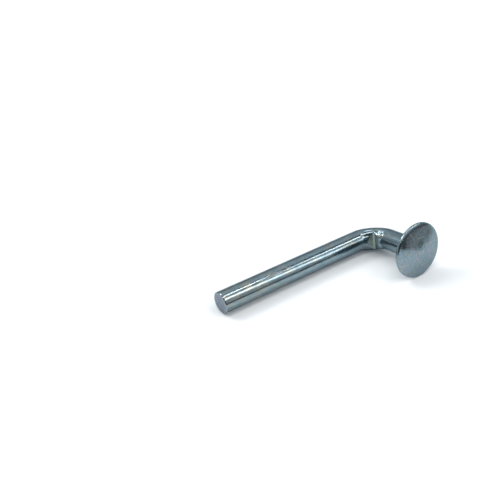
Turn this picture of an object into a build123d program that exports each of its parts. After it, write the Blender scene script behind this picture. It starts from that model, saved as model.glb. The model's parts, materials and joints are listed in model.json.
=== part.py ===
from build123d import *
import math
import os

# Bent and headed steel drop pin that locks a shelf beam to a pallet rack upright.
#
# One round rod: a long straight shank that drops through the aligned holes, a tight cold bend with
# the mark of the bending edge pressed into its inside, and a short arm with an upset head.  The pin
# lies as it comes to rest, on the shank and on the head's rim.  Frame: origin under the middle of
# the pin on the surface it lies on, +Z up, shank along X with its free tip at -X, arm towards -Y.

# ---- driving dimensions, in millimetres and degrees -------------------------------------------
ROD_DIAMETER = 7.94          # 5/16 in drawn rod
SHANK_LENGTH = 74.6          # free tip to the far side of the arm
ARM_HEIGHT = 28.3            # far side of the shank to the crown of the head
BEND_ANGLE = 90.0            # turn from the shank into the arm
BEND_INNER_RADIUS = 4.6      # inside of the bend, before the notch is pressed in
TIP_EDGE_RADIUS = 0.5        # rolled-over edge of the cropped tip

BEND_SWELL = 0.26            # squeezed metal, on each side of the bend
BEND_THINNING = 0.15         # stretched outside of the bend, drawn in
BEND_WIDEST_SHARE = 1 / 3    # widest place, this share of the rod's radius inside its axis

NOTCH_DEPTH = 1.0            # bite of the bending edge, below the inside of the bend
NOTCH_SHIFT = 0.45           # middle of the valley, towards the arm from the middle of the bend
NOTCH_NOSE = 0.5             # width of the edge's blunt nose
NOTCH_NOSE_RADIUS = 0.4      # rounded corners of the nose
NOTCH_SHANK_MARGIN = 15.0    # turn of plain bend left between the mouth and the shank
NOTCH_ARM_MARGIN = 23.0      # and between the mouth and the arm
NOTCH_LIP_RADIUS = 0.3       # rounded lips of the mouth

LOBE_RADIUS = 2.3            # round of the metal squeezed up beside the notch, on each side
LOBE_RISE = 0.34             # its height above the rod
LOBE_TURN = 16.0             # turn of bend from its middle to the arm
LOBE_LEAN = 33.0             # turn round the rod from the inside of the bend to its middle

HEAD_DIAMETER = 20.8
HEAD_RIM_THICKNESS = 1.4     # full-round rim
HEAD_CROWN_RISE = 0.9        # crown above the rim
HEAD_CROWN_RADIUS = 7.8      # where the low dome of the face turns into the shoulder
HEAD_CROWN_DROP = 0.35       # fall of the face from the crown to there
NECK_FILLET = 0.7            # between the arm and the underside of the head

NODE = "drop_pin"

# ---- sizes that follow -------------------------------------------------------------------------
rod_radius = ROD_DIAMETER / 2
head_radius = HEAD_DIAMETER / 2
head_thickness = HEAD_RIM_THICKNESS + HEAD_CROWN_RISE
rim_radius = HEAD_RIM_THICKNESS / 2
underside_height = ARM_HEIGHT - rod_radius - head_thickness
crown_height = ARM_HEIGHT - rod_radius
bend_radius = BEND_INNER_RADIUS + rod_radius
bend_setback = bend_radius * math.tan(math.radians(BEND_ANGLE / 2))
corner_x = SHANK_LENGTH - rod_radius


def bend_plane(turn):
    """Plane square to the rod, turn degrees round the bend, its X axis to the outside of the bend."""
    angle = math.radians(turn)
    outward = Vector(math.sin(angle), math.cos(angle), 0)
    along = Vector(math.cos(angle), -math.sin(angle), 0)
    centre = Vector(corner_x - bend_setback, -bend_radius, 0)
    return Plane(origin=centre + outward * bend_radius, x_dir=outward, z_dir=along)


def bend_section(turn):
    """Rod section in the bend: wider where the inside is squeezed, flatter on the outside."""
    share = math.sin(math.pi * turn / BEND_ANGLE) ** 2
    half_width = rod_radius + BEND_SWELL * share
    widest_at = -rod_radius * BEND_WIDEST_SHARE * share
    outer_reach = rod_radius - BEND_THINNING * share - widest_at
    inner_reach = rod_radius + widest_at
    outer = EllipticalCenterArc((widest_at, 0), outer_reach, half_width, -90, arc_size=180)
    inner = EllipticalCenterArc((widest_at, 0), inner_reach, half_width, 90, arc_size=180)
    return bend_plane(turn) * make_face([outer, inner])


def make_shank():
    """Straight shank from its cropped tip to the start of the bend."""
    shank = Plane.YZ * extrude(Circle(rod_radius), corner_x - bend_setback)
    tip_edge = shank.edges().group_by(Axis.X)[0]
    return fillet(tip_edge, TIP_EDGE_RADIUS)


def make_bend():
    """Cold bend, lofted through sections that swell inside and thin outside."""
    steps = 4
    return loft([bend_section(BEND_ANGLE * step / steps) for step in range(steps + 1)])


def make_headed_arm():
    """Arm and upset head, one profile turned about the arm's axis.

    The profile's X is the distance from that axis and its Y the distance from the shank's axis.
    """
    shoulder = Vector(HEAD_CROWN_RADIUS, crown_height - HEAD_CROWN_DROP)
    crown_sphere = (HEAD_CROWN_RADIUS**2 + HEAD_CROWN_DROP**2) / (2 * HEAD_CROWN_DROP)
    face_normal = Vector(0, crown_sphere - crown_height) + shoulder
    face_normal = face_normal.normalized()
    rim_centre = Vector(head_radius - rim_radius, underside_height + rim_radius)
    gap = shoulder - rim_centre
    shoulder_radius = (gap.dot(gap) - rim_radius**2) / (2 * (gap.dot(face_normal) - rim_radius))
    shoulder_centre = shoulder - face_normal * shoulder_radius
    rim_direction = (rim_centre - shoulder_centre).normalized()
    rim_top = rim_centre + rim_direction * rim_radius
    shoulder_middle = shoulder_centre + (face_normal + rim_direction).normalized() * shoulder_radius
    crown_middle_x = HEAD_CROWN_RADIUS / 2
    crown_middle_fall = crown_sphere - math.sqrt(crown_sphere**2 - crown_middle_x**2)
    profile = [
        Polyline(
            (0, crown_height),
            (0, bend_setback),
            (rod_radius, bend_setback),
            (rod_radius, underside_height - NECK_FILLET),
        ),
        RadiusArc(
            (rod_radius, underside_height - NECK_FILLET),
            (rod_radius + NECK_FILLET, underside_height),
            NECK_FILLET,
        ),
        Line((rod_radius + NECK_FILLET, underside_height), (rim_centre.X, underside_height)),
        ThreePointArc(
            (rim_centre.X, underside_height),
            rim_centre + Vector(rim_radius, 0),
            rim_top,
        ),
        ThreePointArc(rim_top, shoulder_middle, shoulder),
        ThreePointArc(
            shoulder,
            (crown_middle_x, crown_height - crown_middle_fall),
            (0, crown_height),
        ),
    ]
    turned = revolve(make_face(profile), Axis.Y)
    arm_plane = bend_plane(BEND_ANGLE)
    on_axis = Plane(origin=arm_plane.origin, x_dir=arm_plane.x_dir, z_dir=(0, 0, -1))
    return on_axis * Pos(0, -bend_setback, 0) * turned


def make_lobes():
    """Metal squeezed up on the arm's side of the notch, a low round lobe on each side of the rod."""
    section = bend_plane(BEND_ANGLE - LOBE_TURN)
    reach = rod_radius + LOBE_RISE - LOBE_RADIUS
    inward = reach * math.cos(math.radians(LOBE_LEAN))
    aside = reach * math.sin(math.radians(LOBE_LEAN))
    return [section * Pos(-inward, side * aside, 0) * Sphere(LOBE_RADIUS) for side in (-1, 1)]


def make_notch():
    """Blunt wedge of the bending edge, square to the plane of the bend.

    Each flank runs from the nose through its end of the mouth, on the inside of the bend, and
    stops where it is nearest to the bend's centre, clear of the rod.  The nose has round corners.
    """
    middle = bend_plane(BEND_ANGLE / 2)
    centre = middle.origin - middle.x_dir * bend_radius
    valley = centre + middle.x_dir * (BEND_INNER_RADIUS + NOTCH_DEPTH) + middle.z_dir * NOTCH_SHIFT
    outline = []
    for side, mouth_turn in ((-1, NOTCH_SHANK_MARGIN), (1, BEND_ANGLE - NOTCH_ARM_MARGIN)):
        nose = valley + middle.z_dir * side * NOTCH_NOSE / 2
        mouth = centre + bend_plane(mouth_turn).x_dir * BEND_INNER_RADIUS
        flank = (mouth - nose).normalized()
        outline.append([nose, nose + flank * (centre - nose).dot(flank)])
    (shank_nose, shank_end), (arm_nose, arm_end) = outline
    wedge = make_face(Polyline(shank_nose, shank_end, arm_end, arm_nose, close=True))
    nose_corners = wedge.vertices().sort_by_distance(centre)[-2:]
    wedge = fillet(nose_corners, NOTCH_NOSE_RADIUS)
    return extrude(wedge, ROD_DIAMETER, both=True)


def rest_tilt():
    """Turn about the shank that brings the head's rim down to the surface under the shank."""
    along_arm = underside_height + rim_radius
    across_head = head_radius - rim_radius
    lift = math.asin((rod_radius - rim_radius) / math.hypot(along_arm, across_head))
    arm_slope = math.atan2(across_head, along_arm) - lift
    return math.degrees(math.asin(math.sin(arm_slope) / math.sin(math.radians(BEND_ANGLE))))


def lay_down(pin):
    """Tilt the arm until the head rests, then stand the middle of the pin's box on the origin."""
    lying = Rot(-rest_tilt(), 0, 0) * pin
    box = lying.bounding_box()
    return Pos(-box.center().X, -box.center().Y, -box.min.Z) * lying


def make_drop_pin():
    """Whole pin, upright to its own plane: bent, headed and notched."""
    rod = make_shank() + make_bend() + make_headed_arm()
    notch = make_notch()
    notched = rod - notch
    lips = new_edges(rod, notch, combined=notched)
    pressed = fillet(lips, NOTCH_LIP_RADIUS)
    lobes = [lobe - notch for lobe in make_lobes()]
    return pressed + lobes


os.makedirs("parts", exist_ok=True)
export_step(lay_down(make_drop_pin()), "parts/" + NODE + ".step")
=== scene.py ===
"""Pallet rack drop pin: the finished zinc-plated pin, lying on a pale floor under soft studio light.

The pin is one headed rod bent cold.  Its straight, headed blank is an outline that Geometry Nodes
turn into rings, bend round the bend, squeeze, and press with the bending edge.
"""

import json
import math

import bpy
from mathutils import Matrix, Vector


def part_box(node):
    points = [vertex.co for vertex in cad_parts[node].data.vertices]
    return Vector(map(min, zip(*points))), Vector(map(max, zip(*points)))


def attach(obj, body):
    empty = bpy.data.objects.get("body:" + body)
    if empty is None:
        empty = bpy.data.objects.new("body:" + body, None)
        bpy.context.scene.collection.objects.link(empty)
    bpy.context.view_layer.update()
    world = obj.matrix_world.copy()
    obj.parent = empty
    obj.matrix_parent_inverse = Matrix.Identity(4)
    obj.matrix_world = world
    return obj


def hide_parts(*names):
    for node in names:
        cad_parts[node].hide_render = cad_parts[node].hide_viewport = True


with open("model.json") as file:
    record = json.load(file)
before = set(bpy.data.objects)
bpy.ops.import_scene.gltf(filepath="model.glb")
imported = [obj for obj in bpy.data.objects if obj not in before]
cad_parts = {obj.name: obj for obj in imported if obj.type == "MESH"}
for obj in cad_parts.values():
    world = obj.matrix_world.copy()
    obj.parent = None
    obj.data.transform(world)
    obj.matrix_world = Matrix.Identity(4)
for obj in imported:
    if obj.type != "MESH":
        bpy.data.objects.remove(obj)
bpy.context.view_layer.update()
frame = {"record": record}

MM = 0.001

# ---- driving sizes, in millimetres and degrees --------------------------------------------------
TIP_EDGE_RADIUS = 0.5
BEND_ANGLE = 90.0
BEND_INNER_RADIUS = 4.6
BEND_SWELL = 0.26
BEND_THINNING = 0.15
WIDEST_SHARE = 1 / 3         # the squeezed bend is widest this share of a rod radius inside the axis

NOTCH_DEPTH = 1.0
NOTCH_SHIFT = 0.45
NOTCH_NOSE = 0.5
NOTCH_SHANK_MARGIN = 15.0
NOTCH_ARM_MARGIN = 23.0
NOTCH_LIP = 0.07             # reach of the rounding at the mouth, on the inside of the bend
NOTCH_LIP_GROWTH = 0.25      # and how much it grows towards the rod's sides
NOTCH_NOSE_BLEND = 0.25      # and at the nose's corners

LOBE_RADIUS = 2.5
LOBE_RISE = 0.45
LOBE_TURN = 21.0             # turn of bend from the lobe's middle to the arm
LOBE_RUN = 4.0               # turn of bend from its middle to each end of its crest
LOBE_LEAN = 36.0
LOBE_FOOT = 0.3              # reach of the rounding at the lobe's foot

HEAD_DIAMETER = 20.8
HEAD_RIM_THICKNESS = 1.4
HEAD_CROWN_RISE = 0.9
HEAD_CROWN_RADIUS = 9.0      # where the low dome of the face turns into the shoulder
HEAD_CROWN_DROP = 0.72       # fall of the face from the crown to there
NECK_FILLET = 0.7

WALL_WAVE = 0.012            # the drawn wall's waviness, either way
WALL_WAVE_SCALE = (130.0, 420.0, 420.0)      # along the rod and across it, to the metre
WAVE_FULLNESS = 0.9          # share of the rod's radius from which the wall's waviness grows
FACE_WAVE = 0.045            # the struck face's waviness, either way
FACE_WAVE_SCALE = 330.0      # to the metre
FACE_WAVE_START = 1.5        # past the head's underside, where it starts
FACE_WAVE_FULL = 1.7         # and where it is full

STAMPED_START = 0.02         # depth pressed in, where the stamped finish starts
STAMPED_FULL = 0.12          # and where it is full

# ---- fineness of the mesh -----------------------------------------------------------------------
AROUND = 224
SHANK_STEP = 0.6
BEND_STEP = 0.1
ARM_STEP = 0.4
FACE_STEP = 0.5
ARC_STEP = 12.0              # degrees between the points of a small arc
BEND_RUN_IN = 2.5            # fine rings start this far before the bend and end as far after it
MERGE_DISTANCE = 0.002       # points nearer than this are one
LEAST_REACH = 0.001          # stands for no distance from the axis where something is divided by it
BEND_SHARE = 0.0001          # a ring with more than this share of the squeeze is in the bend
WALL_FULLNESS = 0.999        # a point with more than this share of the rod's radius is on the wall

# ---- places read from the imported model, in metres -----------------------------------------------
mounts = {mount["name"]: mount for mount in frame["record"]["mounts"]}
low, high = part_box("drop_pin")
rod_radius = mounts["shank"]["dims"]["r_mm"] * MM
shank_way = -Vector(mounts["shank"]["axis"])
arm_way = -Vector(mounts["head_underside"]["axis"])
side_way = arm_way.cross(shank_way)
shank_point = Vector(mounts["shank"]["pos_m"])
underside_point = Vector(mounts["head_underside"]["pos_m"])

corner = Vector((high.x - HEAD_DIAMETER / 2 * MM, shank_point.y, shank_point.z))
bend_radius = BEND_INNER_RADIUS * MM + rod_radius
bend_turn = math.radians(BEND_ANGLE)
bend_setback = bend_radius * math.tan(bend_turn / 2)
shank_run = corner.x - low.x - bend_setback
arm_start = shank_run + bend_radius * bend_turn
arm_run = (underside_point - corner).dot(arm_way) - bend_setback
underside_along = arm_start + arm_run


# ---- node trees written as expressions ----------------------------------------------------------
# the Mix node's sockets for colours go by number: their names are also those of its other sockets
MIX_FACTOR = 0
MIX_FIRST = 6
MIX_SECOND = 7
MIX_RESULT = 2


class Signal:
    """An output socket that takes part in sums, each of which adds its Math nodes to the tree."""

    def __init__(self, graph, socket):
        self.graph = graph
        self.socket = socket

    def __add__(self, other):
        return self.graph.math("ADD", self, other)

    def __sub__(self, other):
        return self.graph.math("SUBTRACT", self, other)

    def __rsub__(self, other):
        return self.graph.math("SUBTRACT", other, self)

    def __mul__(self, other):
        return self.graph.math("MULTIPLY", self, other)

    def __truediv__(self, other):
        return self.graph.math("DIVIDE", self, other)

    def __rtruediv__(self, other):
        return self.graph.math("DIVIDE", other, self)

    def __pow__(self, power):
        return self.graph.math("POWER", self, power)

    def __neg__(self):
        return self.graph.math("MULTIPLY", self, -1.0)

    def __gt__(self, other):
        return self.graph.math("GREATER_THAN", self, other)

    def __lt__(self, other):
        return self.graph.math("LESS_THAN", self, other)

    __radd__ = __add__
    __rmul__ = __mul__

    def output(self, name):
        """Another output of the same node."""
        return Signal(self.graph, self.socket.node.outputs[name])


class Graph:
    """A node tree, shader or geometry, with one way to add a node and short names for sums."""

    def __init__(self, tree):
        self.tree = tree

    def add(self, kind, settings=None, sockets=None, output=0):
        """Adds a node: its settings first, then the value or link of each socket."""
        node = self.tree.nodes.new(kind)
        for name, value in (settings or {}).items():
            if name == "stops":
                self.set_stops(node.color_ramp, value)
            else:
                setattr(node, name, value)
        for name, value in (sockets or {}).items():
            if isinstance(value, Signal):
                self.tree.links.new(value.socket, node.inputs[name])
            else:
                node.inputs[name].default_value = value
        if node.outputs:
            return Signal(self, node.outputs[output])
        return node

    @staticmethod
    def set_stops(ramp, stops):
        """Gives a colour ramp its stops, each a place and a grey."""
        while len(ramp.elements) < len(stops):
            ramp.elements.new(1.0)
        for element, (place, grey) in zip(ramp.elements, stops):
            element.position = place
            element.color = (grey, grey, grey, 1.0)

    def math(self, operation, *values):
        return self.add("ShaderNodeMath", {"operation": operation}, dict(enumerate(values)))

    def vector(self, operation, *values):
        return self.add("ShaderNodeVectorMath", {"operation": operation}, dict(enumerate(values)))

    def scale(self, vector, factor):
        sockets = {"Vector": vector, "Scale": factor}
        return self.add("ShaderNodeVectorMath", {"operation": "SCALE"}, sockets)

    def combine(self, x, y, z):
        return self.add("ShaderNodeCombineXYZ", {}, {"X": x, "Y": y, "Z": z})

    def separate(self, vector):
        parts = self.add("ShaderNodeSeparateXYZ", {}, {"Vector": vector})
        return parts, parts.output("Y"), parts.output("Z")

    def sin(self, angle):
        return self.math("SINE", angle)

    def cos(self, angle):
        return self.math("COSINE", angle)

    def least(self, a, b):
        return self.math("MINIMUM", a, b)

    def most(self, a, b):
        return self.math("MAXIMUM", a, b)

    def soft_least(self, a, b, reach):
        return self.math("SMOOTH_MIN", a, b, reach)

    def ramp(self, value, low_in, high_in, low_out=0.0, high_out=1.0):
        """A smooth step from one output to the other, between two values and held past them."""
        return self.add(
            "ShaderNodeMapRange",
            {"interpolation_type": "SMOOTHSTEP"},
            {
                "Value": value,
                "From Min": low_in,
                "From Max": high_in,
                "To Min": low_out,
                "To Max": high_out,
            },
        )

    def noise(self, vector, scale, detail=2.0, roughness=0.5):
        return self.add(
            "ShaderNodeTexNoise",
            {},
            {"Vector": vector, "Scale": scale, "Detail": detail, "Roughness": roughness},
        )

    def mix_colour(self, factor, a, b, blend="MIX"):
        return self.add(
            "ShaderNodeMix",
            {"data_type": "RGBA", "blend_type": blend},
            {MIX_FACTOR: factor, MIX_FIRST: a, MIX_SECOND: b},
            output=MIX_RESULT,
        )


# ---- the blank's outline ------------------------------------------------------------------------
def between(start, end, step):
    """Points from one to another, about a step apart, without the last, in millimetres."""
    count = max(1, round((end - start).length / step))
    return [start.lerp(end, index / count) for index in range(count)]


def arc(centre, radius, first, last, step=ARC_STEP):
    """Points of an arc, from one angle to another in degrees, without the last."""
    count = max(2, round(abs(last - first) / step))
    angles = [math.radians(first + (last - first) * index / count) for index in range(count)]
    return [centre + radius * Vector((math.cos(angle), math.sin(angle))) for angle in angles]


def head_outline(underside):
    """From the flat underside's start at the neck, round the rim and over the low dome."""
    crown = underside + HEAD_RIM_THICKNESS + HEAD_CROWN_RISE
    rim = HEAD_RIM_THICKNESS / 2
    shoulder = Vector((crown - HEAD_CROWN_DROP, HEAD_CROWN_RADIUS))
    dome = (HEAD_CROWN_RADIUS**2 + HEAD_CROWN_DROP**2) / (2 * HEAD_CROWN_DROP)
    dome_centre = Vector((crown - dome, 0))
    dome_slope = (shoulder - dome_centre).normalized()
    rim_centre = Vector((underside + rim, HEAD_DIAMETER / 2 - rim))
    gap = shoulder - rim_centre
    bow = (gap.dot(gap) - rim**2) / (2 * (gap.dot(dome_slope) - rim))
    bow_centre = shoulder - bow * dome_slope
    rim_slope = (rim_centre - bow_centre).normalized()

    def angle_of(way):
        return math.degrees(math.atan2(way.y, way.x))

    neck_end = Vector((underside, rod_radius / MM + NECK_FILLET))
    dome_angle = angle_of(dome_slope)
    face_step = math.degrees(FACE_STEP / dome)
    return [
        *between(neck_end, Vector((underside, rim_centre.y)), FACE_STEP),
        *arc(rim_centre, rim, 180, angle_of(rim_slope)),
        *arc(bow_centre, bow, angle_of(rim_slope), dome_angle, math.degrees(FACE_STEP / 2 / bow)),
        *arc(dome_centre, dome, dome_angle, 0, face_step),
        Vector((crown, 0)),
    ]


def blank_outline():
    """The straight headed blank's half outline: distance along the rod, and from its axis."""
    rod = rod_radius / MM
    edge = TIP_EDGE_RADIUS
    fine_start = shank_run / MM - BEND_RUN_IN
    fine_end = arm_start / MM + BEND_RUN_IN
    underside = underside_along / MM
    neck_start = underside - NECK_FILLET
    return [
        *between(Vector((0, 0)), Vector((0, rod - edge)), FACE_STEP),
        *arc(Vector((edge, rod - edge)), edge, 180, 90),
        *between(Vector((edge, rod)), Vector((fine_start, rod)), SHANK_STEP),
        *between(Vector((fine_start, rod)), Vector((fine_end, rod)), BEND_STEP),
        *between(Vector((fine_end, rod)), Vector((neck_start, rod)), ARM_STEP),
        *arc(Vector((neck_start, rod + NECK_FILLET)), NECK_FILLET, 270, 360),
        *head_outline(underside),
    ]


def flank(nose_side, mouth_turn):
    """The line of one flank of the notch: its angle and distance, seen from the bend's centre.

    Angles grow from the shank to the arm.  The flank runs from the nose through its mouth end.
    """
    middle = bend_turn / 2
    outward = Vector((math.cos(middle), math.sin(middle)))
    onward = Vector((-math.sin(middle), math.cos(middle)))
    nose_shift = NOTCH_SHIFT + nose_side * NOTCH_NOSE / 2
    nose = outward * (BEND_INNER_RADIUS + NOTCH_DEPTH) + onward * nose_shift
    mouth_angle = math.radians(mouth_turn)
    mouth = BEND_INNER_RADIUS * Vector((math.cos(mouth_angle), math.sin(mouth_angle)))
    way = (mouth - nose).normalized()
    foot = nose - way * nose.dot(way)
    return math.atan2(foot.y, foot.x), foot.length * MM


# ---- the pin's tree -----------------------------------------------------------------------------
def new_geometry_tree(name, inputs):
    """A geometry tree with one geometry in and out, and a named input for each of its sizes."""
    tree = bpy.data.node_groups.new(name, "GeometryNodeTree")
    tree.is_modifier = True
    tree.interface.new_socket("Geometry", in_out="INPUT", socket_type="NodeSocketGeometry")
    tree.interface.new_socket("Geometry", in_out="OUTPUT", socket_type="NodeSocketGeometry")
    for label, kind in inputs.items():
        tree.interface.new_socket(label, in_out="INPUT", socket_type="NodeSocket" + kind)
    return tree


def set_inputs(modifier, values):
    """Sets a modifier's inputs by the identifiers of the sockets with these names."""
    for item in modifier.node_group.interface.items_tree:
        if item.in_out == "INPUT" and item.name in values:
            modifier[item.identifier] = values[item.name]


def ring_section(graph, value, turn, fullness, share):
    """A point's place in its own ring, away from the bend's centre and to the side."""
    rod = value["Rod Radius"]
    outward = graph.cos(turn)
    widest = -(rod * value["Widest Share"] * share)
    outer_reach = rod - value["Bend Thinning"] * share - widest
    inner_reach = rod + widest
    outer_side = outward > 0.0
    arm_length = outer_side * outer_reach + (1 - outer_side) * inner_reach
    out = (widest + arm_length * outward) * fullness
    side = (rod + value["Bend Swell"] * share) * graph.sin(turn) * fullness
    return out, side


def lobe_growth(graph, value, angle, out, side):
    """How many times further from the axis a lobe of squeezed metal raises the wall here."""
    lobe_gap = graph.most(
        graph.math("ABSOLUTE", angle - value["Lobe Turn"]) - value["Lobe Run"], 0.0
    )
    lobe_out = value["Lobe Distance"] * graph.cos(lobe_gap) - value["Bend Radius"]
    lobe_along = value["Lobe Distance"] * graph.sin(lobe_gap)
    reach_here = graph.most((out * out + side * side) ** 0.5, LEAST_REACH * MM)
    facing = (lobe_out * out + value["Lobe Side"] * graph.math("ABSOLUTE", side)) / reach_here
    clearance = lobe_out * lobe_out + lobe_along * lobe_along + value["Lobe Side"] ** 2
    inside = graph.most(facing * facing + value["Lobe Radius"] ** 2 - clearance, 0.0)
    lobe_reach = (facing + inside ** 0.5) * (inside > 0.0)
    raised = graph.math("SMOOTH_MAX", reach_here, lobe_reach, value["Lobe Foot"])
    return raised / reach_here


def notch_reach(graph, value, angle):
    """The notch's flanks and nose, as their distance outward from the rod's axis at this turn."""
    shank_flank = value["Shank Flank Distance"] / graph.cos(
        graph.most(angle - value["Shank Flank Angle"], 0.0)
    )
    arm_flank = value["Arm Flank Distance"] / graph.cos(
        graph.most(value["Arm Flank Angle"] - angle, 0.0)
    )
    nose = value["Nose Distance"] / graph.cos(angle - value["Bend Turn"] / 2)
    blend = value["Nose Blend"]
    flanks = graph.soft_least(shank_flank, arm_flank, blend)
    return graph.soft_least(flanks, nose, blend) - value["Bend Radius"]


def bent_place(graph, value, along, angle, out, side):
    """Where a point of a ring comes to lie, set out from where the shank's and arm's axes meet."""
    radius = value["Bend Radius"]
    straight = graph.least(along, value["Shank Run"]) - value["Shank Run"]
    onward = graph.most(along - value["Shank Run"] - radius * value["Bend Turn"], 0.0)
    setback = radius * graph.math("TANGENT", value["Bend Turn"] / 2)
    spread = radius + out
    on_shank = straight - setback + spread * graph.sin(angle) + onward * graph.cos(angle)
    on_arm = radius - spread * graph.cos(angle) + onward * graph.sin(angle)
    from_corner = graph.vector("ADD", value["Corner"], graph.scale(value["Shank Way"], on_shank))
    sideways = graph.scale(value["Side Way"], side)
    off_shank = graph.vector("ADD", graph.scale(value["Arm Way"], on_arm), sideways)
    return graph.vector("ADD", from_corner, off_shank)


def with_attribute(graph, geometry, name, kind, value):
    """The geometry with a named value at each point."""
    return graph.add(
        "GeometryNodeStoreNamedAttribute",
        {"data_type": kind, "domain": "POINT"},
        {"Geometry": geometry, "Name": name, "Value": value},
    )


def pin_tree():
    """Turns the blank's outline into rings, bends and squeezes them, and presses the notch in."""
    sizes = [
        "Rod Radius", "Bend Radius", "Shank Run", "Bend Turn", "Bend Swell", "Bend Thinning",
        "Widest Share", "Shank Flank Angle", "Shank Flank Distance", "Arm Flank Angle",
        "Arm Flank Distance", "Nose Distance", "Nose Blend", "Notch Lip", "Notch Lip Growth",
        "Lobe Radius", "Lobe Turn", "Lobe Run", "Lobe Distance", "Lobe Side", "Lobe Foot",
        "Wall Wave", "Face Wave", "Underside Along",
    ]
    inputs = {label: "Float" for label in sizes}
    inputs.update({"Around": "Int", "Corner": "Vector", "Shank Way": "Vector"})
    inputs.update({"Arm Way": "Vector", "Side Way": "Vector", "Finish": "Material"})
    tree = new_geometry_tree("bent_headed_rod", inputs)
    graph = Graph(tree)
    given = graph.add("NodeGroupInput")
    value = {label: given.output(label) for label in inputs}
    outline = given.output("Geometry")
    rod = value["Rod Radius"]

    # a sheet with a row of points for each point of the outline, rolled up into rings
    rings = graph.add(
        "GeometryNodeAttributeDomainSize", {"component": "MESH"}, {"Geometry": outline}
    )
    rows = value["Around"] + 1
    sheet = graph.add(
        "GeometryNodeMeshGrid", {}, {"Vertices X": rings.output("Point Count"), "Vertices Y": rows}
    )
    index = graph.add("GeometryNodeInputIndex")
    ring = graph.math("FLOOR", (index + 0.5) / rows)
    turn = (index - ring * rows) / value["Around"] * math.tau
    place = graph.add(
        "GeometryNodeSampleIndex",
        {"data_type": "FLOAT_VECTOR"},
        {"Geometry": outline, "Value": graph.add("GeometryNodeInputPosition"), "Index": ring},
    )
    along, reach, _ = graph.separate(place)
    blank = graph.combine(along, reach * graph.cos(turn), reach * graph.sin(turn))

    # the wall is a little wavy, more so round the rod than along it, and so is the face of the head
    ripple = graph.noise(graph.vector("MULTIPLY", blank, WALL_WAVE_SCALE), 1.0) - 0.5
    dent = graph.noise(blank, FACE_WAVE_SCALE) - 0.5
    past_underside = along - value["Underside Along"]
    on_face = graph.ramp(past_underside, FACE_WAVE_START * MM, FACE_WAVE_FULL * MM)
    along = along + on_face * dent * value["Face Wave"] * 2
    wave = ripple * value["Wall Wave"] * 2

    # where the ring stands on the bent centreline, and its section there
    past_shank = (along - value["Shank Run"]) / value["Bend Radius"]
    angle = graph.least(graph.most(past_shank, 0.0), value["Bend Turn"])
    share = graph.sin(angle / value["Bend Turn"] * math.pi) ** 2
    in_bend = share > BEND_SHARE
    fullness = reach / rod
    out, side = ring_section(graph, value, turn, fullness, share)

    # the lobes and the waves raise the wall
    raised = lobe_growth(graph, value, angle, out, side) - 1
    growth = raised * (fullness > WALL_FULLNESS) * in_bend + 1
    growth = growth + wave / rod * graph.ramp(fullness, WAVE_FULLNESS, 1.0)
    out = out * growth
    side = side * growth

    # the notch pushes it outward again, with a lip that grows towards the rod's sides
    lip = value["Notch Lip"] + value["Notch Lip Growth"] * (side / rod) ** 2
    cut = graph.math("SMOOTH_MAX", out, notch_reach(graph, value, angle), lip)
    stamped = in_bend * graph.ramp(cut - out, STAMPED_START * MM, STAMPED_FULL * MM)
    out = in_bend * cut + (1 - in_bend) * out

    spot = bent_place(graph, value, along, angle, out, side)
    marked = with_attribute(graph, sheet, "blank", "FLOAT_VECTOR", blank)
    marked = with_attribute(graph, marked, "stamped", "FLOAT", stamped)
    bent = graph.add("GeometryNodeSetPosition", {}, {"Geometry": marked, "Position": spot})
    closed = graph.add(
        "GeometryNodeMergeByDistance", {}, {"Geometry": bent, "Distance": MERGE_DISTANCE * MM}
    )
    outward_faces = graph.add("GeometryNodeFlipFaces", {}, {"Mesh": closed})
    smooth = graph.add("GeometryNodeSetShadeSmooth", {}, {"Geometry": outward_faces})
    real = graph.add("GeometryNodeRealizeInstances", {}, {"Geometry": smooth})
    finished = graph.add(
        "GeometryNodeSetMaterial", {}, {"Geometry": real, "Material": value["Finish"]}
    )
    graph.add("NodeGroupOutput", {}, {"Geometry": finished})
    return tree


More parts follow.
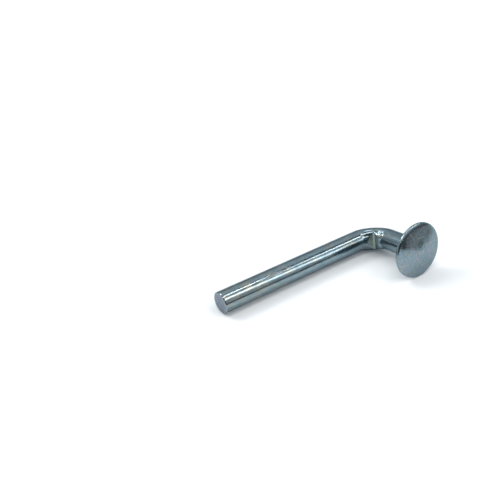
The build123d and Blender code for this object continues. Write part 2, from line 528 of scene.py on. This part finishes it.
def make_pin(finish):
    """The pin as one plain mesh, standing for the CAD node and riding on the root."""
    points = [(point.x * MM, point.y * MM, 0) for point in blank_outline()]
    outline = bpy.data.meshes.new("blank_outline")
    outline.from_pydata(points, [(i, i + 1) for i in range(len(points) - 1)], [])
    maker = bpy.data.objects.new("pin_maker", outline)
    bpy.context.scene.collection.objects.link(maker)
    modifier = maker.modifiers.new("bent_headed_rod", "NODES")
    modifier.node_group = pin_tree()
    shank_angle, shank_distance = flank(-1, NOTCH_SHANK_MARGIN)
    arm_angle, arm_distance = flank(1, BEND_ANGLE - NOTCH_ARM_MARGIN)
    lobe_reach = rod_radius + (LOBE_RISE - LOBE_RADIUS) * MM
    lobe_lean = math.radians(LOBE_LEAN)
    set_inputs(modifier, {
        "Rod Radius": rod_radius,
        "Bend Radius": bend_radius,
        "Shank Run": shank_run,
        "Bend Turn": bend_turn,
        "Bend Swell": BEND_SWELL * MM,
        "Bend Thinning": BEND_THINNING * MM,
        "Widest Share": WIDEST_SHARE,
        "Shank Flank Angle": shank_angle,
        "Shank Flank Distance": shank_distance,
        "Arm Flank Angle": arm_angle,
        "Arm Flank Distance": arm_distance,
        "Nose Distance": (BEND_INNER_RADIUS + NOTCH_DEPTH) * MM,
        "Notch Lip": NOTCH_LIP * MM,
        "Notch Lip Growth": NOTCH_LIP_GROWTH * MM,
        "Nose Blend": NOTCH_NOSE_BLEND * MM,
        "Lobe Radius": LOBE_RADIUS * MM,
        "Lobe Turn": math.radians(BEND_ANGLE - LOBE_TURN),
        "Lobe Run": math.radians(LOBE_RUN),
        "Lobe Distance": bend_radius - lobe_reach * math.cos(lobe_lean),
        "Lobe Side": lobe_reach * math.sin(lobe_lean),
        "Lobe Foot": LOBE_FOOT * MM,
        "Wall Wave": WALL_WAVE * MM,
        "Face Wave": FACE_WAVE * MM,
        "Underside Along": underside_along,
        "Around": AROUND,
        "Corner": corner,
        "Shank Way": shank_way,
        "Arm Way": arm_way,
        "Side Way": side_way,
        "Finish": finish,
    })
    graph = bpy.context.evaluated_depsgraph_get()
    mesh = bpy.data.meshes.new_from_object(maker.evaluated_get(graph))
    mesh.name = "drop_pin_body"
    bpy.data.objects.remove(maker)
    pin = bpy.data.objects.new("plated_pin", mesh)
    bpy.context.scene.collection.objects.link(pin)
    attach(pin, "root")
    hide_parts("drop_pin")
    return pin


# ---- the plate's finish -------------------------------------------------------------------------
# noises fixed to the straight blank: stretch along the rod, scale to the millimetre, detail, roughness
DRAWN_LINES = (0.02, 3.0, 1.0, 0.5)
STREAKS = (0.06, 1.5, 0.0, 0.5)
CLOUDS = (0.35, 0.5, 3.0, 0.55)
SHADES = (0.3, 1.1, 4.0, 0.65)
LILAC_CLOUDS = (1.0, 0.33, 2.0, 0.5)
GLOSS_CLOUDS = (1.0, 1.4, 3.0, 0.6)

BLUE_PLATE = (0.212, 0.295, 0.336, 1)
OLIVE_PLATE = (0.283, 0.315, 0.294, 1)
LILAC_PLATE = (0.279, 0.292, 0.351, 1)
# the stamped flank's plate is lighter than the rest: painted light for the light that flank catches
STAMPED_PLATE_AND_SHEEN = (0.36, 0.43, 0.39, 1)
SCRATCHED_PLATE = (0.55, 0.62, 0.66, 1)
GRAZING_TINT = (0.58, 0.63, 0.66, 1)         # of reflections at a grazing angle

OLIVE_RANGE = (0.46, 0.72)   # of the clouds, from no olive to all olive
OLIVE_AT_TIP = 0.10          # added to the clouds at the tip
TIP_FADE = (8.0, 34.0)       # from the tip, where that starts to fade and is gone
LILAC_RANGE = (0.50, 0.72)
LILAC_ON_ROD = 0.25          # strength of the lilac on the rod, where the head's is 1
LILAC_ON_TIP = 0.6           # and what the tip's face has all over
TIP_FACE = 0.2               # nearer to the tip than this is the tip's face
STAMPED_SHEEN_SHARE = 0.9
SHADE_RANGE = (0.3, 0.7)     # of the shades, from darkest to lightest
SHADE_DEPTH = (0.80, 1.10)   # darkest and lightest

PLATE_ROUGHNESS = 0.13
GLOSS_VARIATION = 0.10       # added to the roughness in clouds
STAMPED_ROUGHNESS = 0.22     # and where the notch was stamped
RELIEF = 0.006               # height of the streaks
DRAWN_SHARE = 0.12           # height of the drawn lines, as a share of the streaks'

# marks on the head's face, in millimetres across it and up it from its middle: patches of painted
# shade where dents in it would mirror dark surroundings, and scratches
FACE_DENT_SHADES = [              # across, up, radius, strength
    (0.2, 2.7, 1.3, 0.35),
    (4.6, 5.6, 0.9, 0.25),
    (-7.4, 4.6, 1.2, 0.35),
    (-3.2, 6.6, 1.2, 0.15),
]
DENT_SHADE_EDGE = (1.5, 0.5)      # where a patch of painted shade starts and is full, in its own radii
DENT_SHADE_RAGGEDNESS = 1.2
FACE_SCRATCHES = [           # start, end, half width
    ((-4.4, 9.0), (-2.5, 5.2), 0.35),
    ((-0.6, 5.2), (2.2, 4.9), 0.2),
]
SCRATCH_STRENGTH = 0.5


def new_material(name):
    material = bpy.data.materials.new(name)
    material.use_nodes = True
    material.node_tree.nodes.clear()
    return material, Graph(material.node_tree)


def blank_noise(graph, place, pattern):
    """Noise fixed to the straight blank, stretched along the rod."""
    along, across, up = place
    stretch, scale, detail, roughness = pattern
    return graph.noise(graph.combine(along * stretch, across, up), scale, detail, roughness)


def plate_tint(graph, place, clouds, on_face, stamped):
    """Blue plate with olive clouds, most near the tip, lilac ones on the head, and on the notch's
    stamped flank a lighter plate that is painted light.
    """
    along = place[0]
    at_tip = graph.ramp(along, *TIP_FADE, OLIVE_AT_TIP, 0.0)
    olive = graph.ramp(clouds + at_tip, *OLIVE_RANGE)
    tint = graph.mix_colour(olive, BLUE_PLATE, OLIVE_PLATE)
    head_share = LILAC_ON_ROD + (1 - LILAC_ON_ROD) * on_face
    lilac = graph.ramp(blank_noise(graph, place, LILAC_CLOUDS), *LILAC_RANGE) * head_share
    on_tip = along < TIP_FACE
    lilac = graph.least(lilac + LILAC_ON_TIP * on_tip, 1.0)
    tint = graph.mix_colour(lilac, tint, LILAC_PLATE)
    # the stamped flank gets a lighter plate: painted light, over its real rougher stamped finish
    return graph.mix_colour(stamped * STAMPED_SHEEN_SHARE, tint, STAMPED_PLATE_AND_SHEEN)


def painted_dent_shade(graph, place, clouds, dent_shade):
    """How much of the light a patch of painted shade, for a dent in the head's face, takes away here.
    """
    _, across, up = place
    dent_across, dent_up, radius, strength = dent_shade
    apart = ((across - dent_across) ** 2 + (up - dent_up) ** 2) ** 0.5
    ragged = apart + DENT_SHADE_RAGGEDNESS * (clouds - 0.5)
    start, full = DENT_SHADE_EDGE
    return graph.ramp(ragged, radius * start, radius * full) * strength


def face_scratch(graph, place, scratch):
    """How much of a scratch on the head's face is here."""
    _, across, up = place
    start, end, half_width = scratch
    start, way = Vector(start), Vector(end) - Vector(start)
    reach = ((across - start.x) * way.x + (up - start.y) * way.y) / way.length_squared
    reach = graph.least(graph.most(reach, 0.0), 1.0)
    off_across = across - start.x - reach * way.x
    off_up = up - start.y - reach * way.y
    apart = (off_across ** 2 + off_up ** 2) ** 0.5
    return graph.ramp(apart, half_width, 0.0)


def zinc_plate():
    """Bright zinc over drawn rod: lines along the rod, faint blue and olive tints, light wear; painted
    shade for the head's dents, and painted light on the notch's stamped flank.
    """
    material, graph = new_material("bright_zinc_plate")
    blank = graph.add("ShaderNodeAttribute", {"attribute_name": "blank"}, output="Vector")
    stamped = graph.add("ShaderNodeAttribute", {"attribute_name": "stamped"}, output="Fac")
    place = graph.separate(graph.scale(blank, 1 / MM))
    on_face = place[0] > (underside_along / MM + HEAD_RIM_THICKNESS)
    clouds = blank_noise(graph, place, CLOUDS)
    tint = plate_tint(graph, place, clouds, on_face, stamped)
    shade = graph.ramp(blank_noise(graph, place, SHADES), *SHADE_RANGE, *SHADE_DEPTH)
    # painted shade: darker patches on the face where its dents would mirror dark surroundings
    for dent_shade in FACE_DENT_SHADES:
        shade = shade * (1 - painted_dent_shade(graph, place, clouds, dent_shade) * on_face)
    colour = graph.scale(tint, shade)
    for scratch in FACE_SCRATCHES:
        line = face_scratch(graph, place, scratch) * on_face
        colour = graph.mix_colour(line * SCRATCH_STRENGTH, colour, SCRATCHED_PLATE)
    gloss_clouds = blank_noise(graph, place, GLOSS_CLOUDS)
    roughness = PLATE_ROUGHNESS + GLOSS_VARIATION * gloss_clouds + STAMPED_ROUGHNESS * stamped
    drawn = blank_noise(graph, place, DRAWN_LINES)
    height = blank_noise(graph, place, STREAKS) + DRAWN_SHARE * drawn
    bump = graph.add(
        "ShaderNodeBump", {}, {"Strength": 1.0, "Distance": RELIEF * MM, "Height": height}
    )
    surface = graph.add(
        "ShaderNodeBsdfPrincipled",
        {},
        {
            "Base Color": colour,
            "Metallic": 1.0,
            "Roughness": roughness,
            "Specular Tint": GRAZING_TINT,
            "Normal": bump,
        },
    )
    graph.add("ShaderNodeOutputMaterial", {}, {"Surface": surface})
    return material


# ---- floor and card, in metres ------------------------------------------------------------------
FLOOR_SIDE = 12.0
FLOOR_COLOUR = (0.905, 0.96, 0.99, 1)        # white paper, a little cool

# a folded dark card, seen only in reflections: its plan and height, and its greys along it
CARD_PLAN = [(0.067, -0.130), (0.060, -0.047), (0.120, -0.061)]
CARD_HEIGHT = 0.02
CARD_SHADES = [(0.0, 0.02), (0.27, 0.04), (0.35, 0.40), (0.6, 0.50), (1.0, 0.56)]


def make_floor():
    material, graph = new_material("pale_floor")
    paper = graph.add("ShaderNodeBsdfDiffuse", {}, {"Color": FLOOR_COLOUR})
    graph.add("ShaderNodeOutputMaterial", {}, {"Surface": paper})
    half = FLOOR_SIDE / 2
    corners = [(-half, -half, 0), (half, -half, 0), (half, half, 0), (-half, half, 0)]
    mesh = bpy.data.meshes.new("floor")
    mesh.from_pydata(corners, [], [(0, 1, 2, 3)])
    mesh.materials.append(material)
    floor = bpy.data.objects.new("floor", mesh)
    bpy.context.scene.collection.objects.link(floor)


def make_card():
    """A folded card that stands beside the head, for the metal to mirror."""
    material, graph = new_material("dark_card")
    across = graph.add("ShaderNodeAttribute", {"attribute_name": "across"}, output="Fac")
    shade = graph.add("ShaderNodeValToRGB", {"stops": CARD_SHADES}, {"Fac": across})
    glow = graph.add("ShaderNodeEmission", {}, {"Color": shade, "Strength": 1.0})
    graph.add("ShaderNodeOutputMaterial", {}, {"Surface": glow})
    plan = [Vector(point) for point in CARD_PLAN]
    runs = [0.0]
    for start, end in zip(plan, plan[1:]):
        runs.append(runs[-1] + (end - start).length)
    count = len(plan)
    points = [(x, y, z) for z in (0, CARD_HEIGHT) for x, y in plan]
    faces = [(i, i + 1, count + i + 1, count + i) for i in range(count - 1)]
    mesh = bpy.data.meshes.new("dark_card")
    mesh.from_pydata(points, [], faces)
    across_card = mesh.attributes.new("across", "FLOAT", "POINT")
    across_card.data.foreach_set("value", [run / runs[-1] for run in runs] * 2)
    mesh.materials.append(material)
    card = bpy.data.objects.new("dark_card", mesh)
    card.visible_camera = False
    card.visible_diffuse = False
    card.visible_transmission = False
    card.visible_shadow = False
    bpy.context.scene.collection.objects.link(card)


# ---- light --------------------------------------------------------------------------------------
# greys of the surroundings, by the turn about the shank from the near horizon, in degrees
SURROUNDINGS = [
    (0, 0.05), (8, 0.10), (14, 0.50), (25, 0.68), (60, 0.62), (80, 0.50), (87, 0.12), (100, 0.12),
    (104, 0.75), (115, 0.92), (130, 0.80), (150, 0.68), (165, 0.47), (174, 0.33), (180, 0.31),
]
SURROUNDINGS_TINT = (0.95, 1.0, 1.04, 1)     # slightly cool, where the lamps are slightly warm

# the parts of a unit direction, along X and along Y, over which the surroundings change
DIM_TO_TIP = (0.30, 0.10)    # along X: the near side dims towards the tip
DIM_TO_HEAD = (0.70, 0.80)   # and past the head
DIM_SIDE = (0.0, -0.2)       # along Y: and only the near side
DIMNESS = 0.85               # how much dimmer it gets
PLAIN_ENDS = (0.75, 0.92)    # along X, either way: the bands turn into a plain grey
PLAIN_GREY = (0.55, 0.55, 0.55, 1)

# the large lamps on the far side, in metres: ends of the middle line, width and brightness, where
# white is 1
FAR_LAMPS = [
    ("main_lamp", (-1.9, 1.5, 2.1), (-1.1, 2.3, 2.1), 1.0, 10.5),
    ("back_lamp", (-0.3, 1.6, 2.4), (0.4, 1.6, 2.4), 0.7, 4.0),
]
# the strips, likewise, but with a width and a brightness at each end
STRIPS = [
    ("slanting_strip", (0.30, -0.41, 0.86), (0.66, -0.69, 0.42), (0.15, 0.08), (5.0, 4.0)),
    ("near_strip", (-0.50, -0.74, 0.75), (0.33, -0.60, 0.80), (0.12, 0.14), (3.0, 5.0)),
    ("overhead_strip", (-1.40, 0.07, 0.94), (0.32, -0.09, 0.94), (0.08, 0.08), (8.0, 8.0)),
    ("high_strip", (0.34, 0.045, 0.94), (0.43, 0.045, 0.905), (0.075, 0.07), (20.0, 15.0)),
    ("second_high_strip", (0.475, -0.15, 0.86), (0.90, -0.20, 0.70), (0.07, 0.10), (8.0, 9.5)),
]
STRIP_SPANS = 6              # each strip is this many lamps in a row
LAMP_TINT = (1.0, 0.95, 0.93)


def make_strip(name, start, end, widths, radiances):
    """A row of lamps, whose width and brightness change evenly from its start to its end."""
    start, end = Vector(start), Vector(end)
    for span in range(STRIP_SPANS):
        first, last = span / STRIP_SPANS, (span + 1) / STRIP_SPANS
        middle = (first + last) / 2
        width = widths[0] + (widths[1] - widths[0]) * middle
        radiance = radiances[0] + (radiances[1] - radiances[0]) * middle
        make_lamp(f"{name}_{span + 1}", start.lerp(end, first), start.lerp(end, last), width, radiance)


def make_lamp(name, start, end, width, radiance):
    """A rectangular lamp from one point to another that faces the pin."""
    start, end = Vector(start), Vector(end)
    length = (end - start).length
    light = bpy.data.lights.new(name, "AREA")
    light.shape = "RECTANGLE"
    light.size = length
    light.size_y = width
    light.color = LAMP_TINT
    light.energy = radiance * math.pi * length * width / LAMP_TINT[1]
    lamp = bpy.data.objects.new(name, light)
    middle = (start + end) / 2
    lengthwise = (end - start).normalized()
    across = middle.cross(lengthwise).normalized()
    back = lengthwise.cross(across)
    rows = [(lengthwise[i], across[i], back[i], middle[i]) for i in range(3)]
    lamp.matrix_world = Matrix((*rows, (0, 0, 0, 1)))
    bpy.context.scene.collection.objects.link(lamp)


def make_world():
    """Soft grey surroundings in bands along the shank, plain towards both its ends."""
    world = bpy.data.worlds.new("studio")
    world.use_nodes = True
    world.node_tree.nodes.clear()
    graph = Graph(world.node_tree)
    length, depth, rise = graph.separate(graph.add("ShaderNodeTexCoord", {}, {}, "Generated"))
    turn = graph.math("ARCTAN2", graph.math("ABSOLUTE", rise), -depth) / math.pi
    stops = [(degrees / 180, grey) for degrees, grey in SURROUNDINGS]
    bands = graph.add("ShaderNodeValToRGB", {"stops": stops}, {"Fac": turn})
    corners = graph.ramp(length, *DIM_TO_TIP) + graph.ramp(length, *DIM_TO_HEAD)
    dimmed = corners * graph.ramp(depth, *DIM_SIDE) * DIMNESS
    shade = graph.mix_colour(dimmed, bands, (0, 0, 0, 1))
    endways = graph.ramp(graph.math("ABSOLUTE", length), *PLAIN_ENDS)
    shade = graph.mix_colour(endways, shade, PLAIN_GREY)
    shade = graph.mix_colour(1.0, shade, SURROUNDINGS_TINT, "MULTIPLY")
    background = graph.add("ShaderNodeBackground", {}, {"Color": shade, "Strength": 1.0})
    graph.add("ShaderNodeOutputWorld", {}, {"Surface": background})
    bpy.context.scene.world = world


# ---- camera, in degrees and millimetres ---------------------------------------------------------
VIEW_AZIMUTH = -34.327       # 0 is along +Y, and it grows towards -X
VIEW_ELEVATION = 36.982
VIEW_DISTANCE = 262.3
VIEW_AIM = (-16.98, 33.02, 7.0)
VIEW_LENS = 52.566
SENSOR_WIDTH = 36.0
NEAR_CLIP = 10.0


def make_camera():
    data = bpy.data.cameras.new("camera")
    data.lens = VIEW_LENS
    data.sensor_width = SENSOR_WIDTH
    data.clip_start = NEAR_CLIP * MM
    camera = bpy.data.objects.new("camera", data)
    turn = math.radians(VIEW_AZIMUTH)
    fall = math.radians(VIEW_ELEVATION)
    level = Vector((-math.sin(turn), math.cos(turn), 0))
    way = level * math.cos(fall) - Vector((0, 0, math.sin(fall)))
    camera.location = (Vector(VIEW_AIM) - way * VIEW_DISTANCE) * MM
    camera.rotation_euler = way.to_track_quat("-Z", "Y").to_euler()
    bpy.context.scene.collection.objects.link(camera)
    bpy.context.scene.camera = camera


make_camera()
make_floor()
make_world()
make_card()
for lamp in FAR_LAMPS:
    make_lamp(*lamp)
for strip in STRIPS:
    make_strip(*strip)
make_pin(zinc_plate())

bpy.context.scene.view_settings.view_transform = "Standard"
